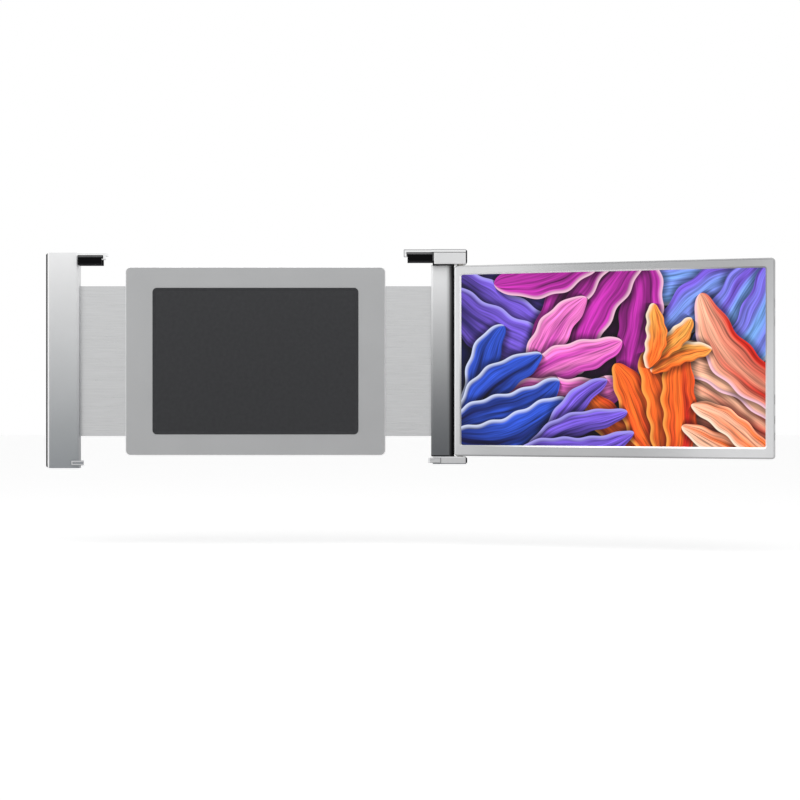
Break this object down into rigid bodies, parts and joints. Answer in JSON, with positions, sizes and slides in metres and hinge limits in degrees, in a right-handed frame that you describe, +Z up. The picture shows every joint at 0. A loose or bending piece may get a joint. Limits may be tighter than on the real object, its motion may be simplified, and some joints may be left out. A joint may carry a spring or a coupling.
{
  "type": "laptop screen extender",
  "caption": "Clip-on second screen for a laptop: a flat base with two sliding bars that hook over the lid, and a hinged monitor on one bar.",
  "frame": {"origin": "centre of the soft liner that the laptop's lid lies against, midway between the two bars at the height of the monitor's middle", "axes": "+X to the user's right, +Y away from the user, behind the lid, +Z up"},
  "size_m": [0.8089, 0.1533, 0.2495],
  "materials": {
    "silver_aluminium": "satin anodised silver",
    "hook_aluminium": "bright satin",
    "slide_aluminium": "brushed",
    "dark_trim": "dark grey moulded",
    "black_rubber": "moulded rubber with a soft sheen",
    "liner_felt": "soft microfibre",
    "nylon": "natural nylon",
    "spring_steel": "spring steel",
    "screw_steel": "plated steel",
    "hinge_steel": "ground steel",
    "bush_brass": "turned brass",
    "display_glass": "lit picture under a satin filter",
    "clear_acrylic": "clear acrylic",
    "led_white": "light strip",
    "circuit_board": "solder mask",
    "ribbon_film": "polyimide film",
    "port_metal": "nickel-plated shell"
  },
  "bodies": {
    "base": {"lid_liner": "liner_felt", "base_front_plate": "silver_aluminium", "base_back_cover": "silver_aluminium", "base_screws": "screw_steel", "slide_stops": "hinge_steel", "left_slide_guides": "nylon", "right_slide_guides": "nylon", "left_friction_springs": "spring_steel", "right_friction_springs": "spring_steel", "kickstand_lugs": "dark_trim", "kickstand_pins": "hinge_steel"},
    "left_bar": {"left_slide_plate": "slide_aluminium", "left_bar_shell": "silver_aluminium", "left_bar_back_cover": "silver_aluminium", "left_edge_trim": "dark_trim", "left_bar_screws": "screw_steel", "left_hook_cap": "hook_aluminium", "left_hook_screws": "screw_steel", "left_hook_pad": "black_rubber"},
    "left_lid_clip": {"left_clip": "hook_aluminium"},
    "right_bracket": {"right_slide_plate": "slide_aluminium", "spine_shell": "silver_aluminium", "spine_side_strip": "dark_trim", "spine_back_cover": "silver_aluminium", "spine_screws": "screw_steel", "top_arm": "silver_aluminium", "top_arm_screws": "screw_steel", "top_arm_end_cap": "dark_trim", "bottom_arm": "silver_aluminium", "bottom_arm_screws": "screw_steel", "bottom_arm_end_cap": "dark_trim", "right_hook_cap": "hook_aluminium", "right_hook_pad": "black_rubber", "hinge_bushes": "bush_brass"},
    "right_lid_clip": {"right_clip": "hook_aluminium"},
    "monitor": {"monitor_bezel": "silver_aluminium", "monitor_back_cover": "silver_aluminium", "back_cover_screws": "screw_steel", "display_panel": "display_glass", "light_guide": "clear_acrylic", "led_strip": "led_white", "panel_tray": "slide_aluminium", "timing_board": "circuit_board", "panel_ribbon": "ribbon_film", "driver_board": "circuit_board", "usb_c_port_lower": "port_metal", "usb_c_port_upper": "port_metal", "mini_hdmi_port": "port_metal", "button_board": "circuit_board", "upper_hinge_leaf": "hinge_steel", "lower_hinge_leaf": "hinge_steel", "hinge_leaf_screws": "screw_steel", "upper_hinge_pin": "hinge_steel", "lower_hinge_pin": "hinge_steel", "friction_washers": "spring_steel", "hinge_nut": "screw_steel"},
    "power_key": {"power_button": "silver_aluminium"},
    "menu_key": {"menu_button": "silver_aluminium"},
    "kickstand": {"kickstand_leg": "silver_aluminium", "kickstand_foot": "black_rubber"}
  },
  "joints": [
    {"name": "left_slide", "type": "slide", "parent": "base", "child": "left_bar", "axis": [-1, 0, 0], "range_m": [-0.052, 0.004]},
    {"name": "right_slide", "type": "slide", "parent": "base", "child": "right_bracket", "axis": [1, 0, 0], "range_m": [-0.052, 0.004]},
    {"name": "monitor_swivel", "type": "hinge", "parent": "right_bracket", "child": "monitor", "pos_m": [0.23435, -0.01125, 0], "axis": [0, 0, 1], "range_deg": [-160, 75]},
    {"name": "left_clip_slide", "type": "slide", "parent": "left_bar", "child": "left_lid_clip", "axis": [1, 0, 0], "range_m": [0, 0.0045]},
    {"name": "right_clip_slide", "type": "slide", "parent": "right_bracket", "child": "right_lid_clip", "axis": [-1, 0, 0], "range_m": [0, 0.0045]},
    {"name": "kickstand_fold", "type": "hinge", "parent": "base", "child": "kickstand", "pos_m": [0, 0.0133, -0.096], "axis": [-1, 0, 0], "range_deg": [0, 135]},
    {"name": "power_button_press", "type": "slide", "parent": "monitor", "child": "power_key", "axis": [-0.9397, 0.342, 0], "range_m": [0, 0.0005], "stiffness_N_per_m": 1200},
    {"name": "menu_button_press", "type": "slide", "parent": "monitor", "child": "menu_key", "axis": [-0.9397, 0.342, 0], "range_m": [0, 0.0005], "stiffness_N_per_m": 1200}
  ]
}
